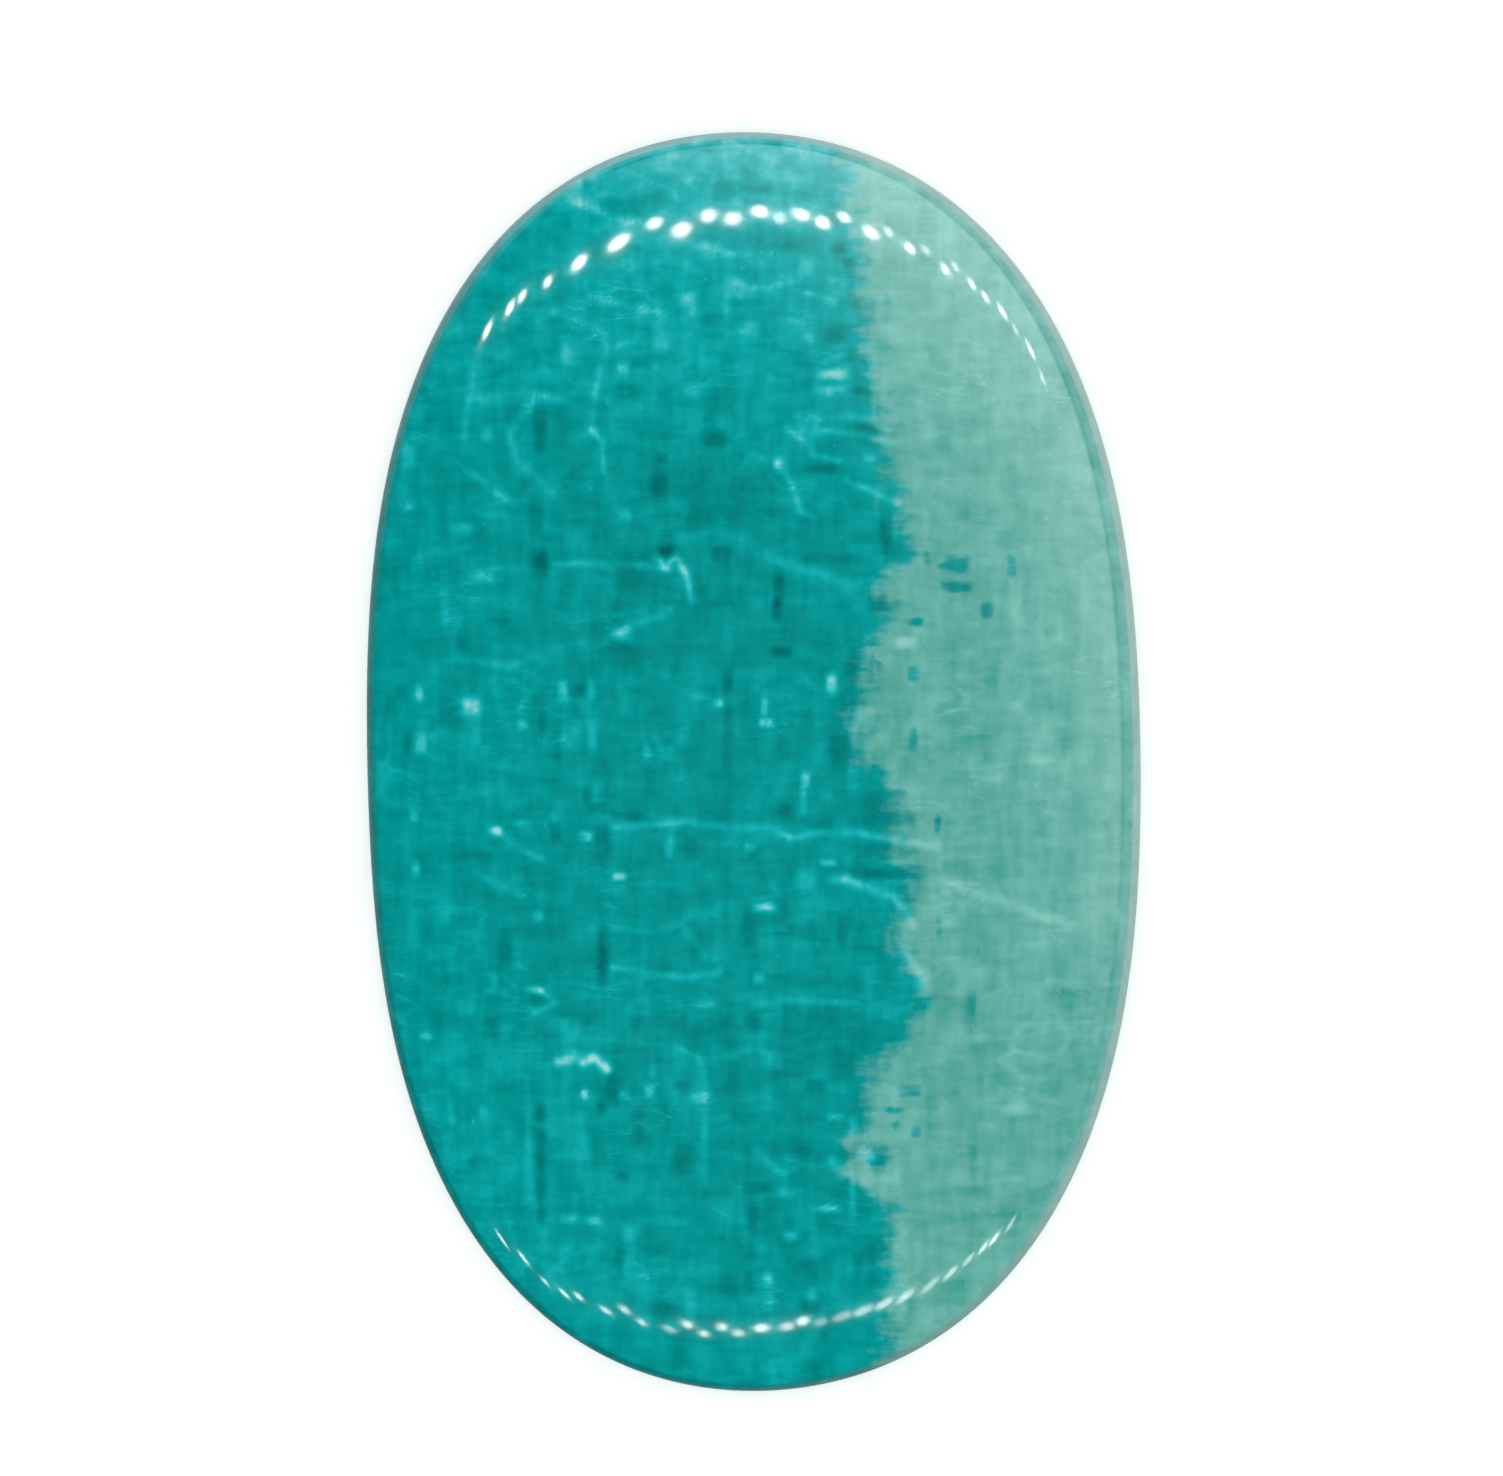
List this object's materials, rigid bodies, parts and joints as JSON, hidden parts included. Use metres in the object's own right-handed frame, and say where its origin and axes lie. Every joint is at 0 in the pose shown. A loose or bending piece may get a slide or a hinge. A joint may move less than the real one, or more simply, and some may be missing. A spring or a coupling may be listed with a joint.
{
  "type": "polished amazonite cabochon",
  "caption": "Long oval amazonite stone with a low polished dome and a flat back, for setting in jewellery or resting on its back.",
  "frame": {"origin": "middle of the stone's width and length, on its flat back", "axes": "+Z out of the back through the top of the dome, +Y along the long axis, +X towards the pale side"},
  "size_m": [0.0222, 0.036, 0.005],
  "materials": {
    "amazonite": "polished blue-green microcline feldspar with darker and paler streaks in two directions and a pale grey-green band along one side"
  },
  "bodies": {
    "root": {"amazonite_cabochon": "amazonite"}
  },
  "joints": []
}
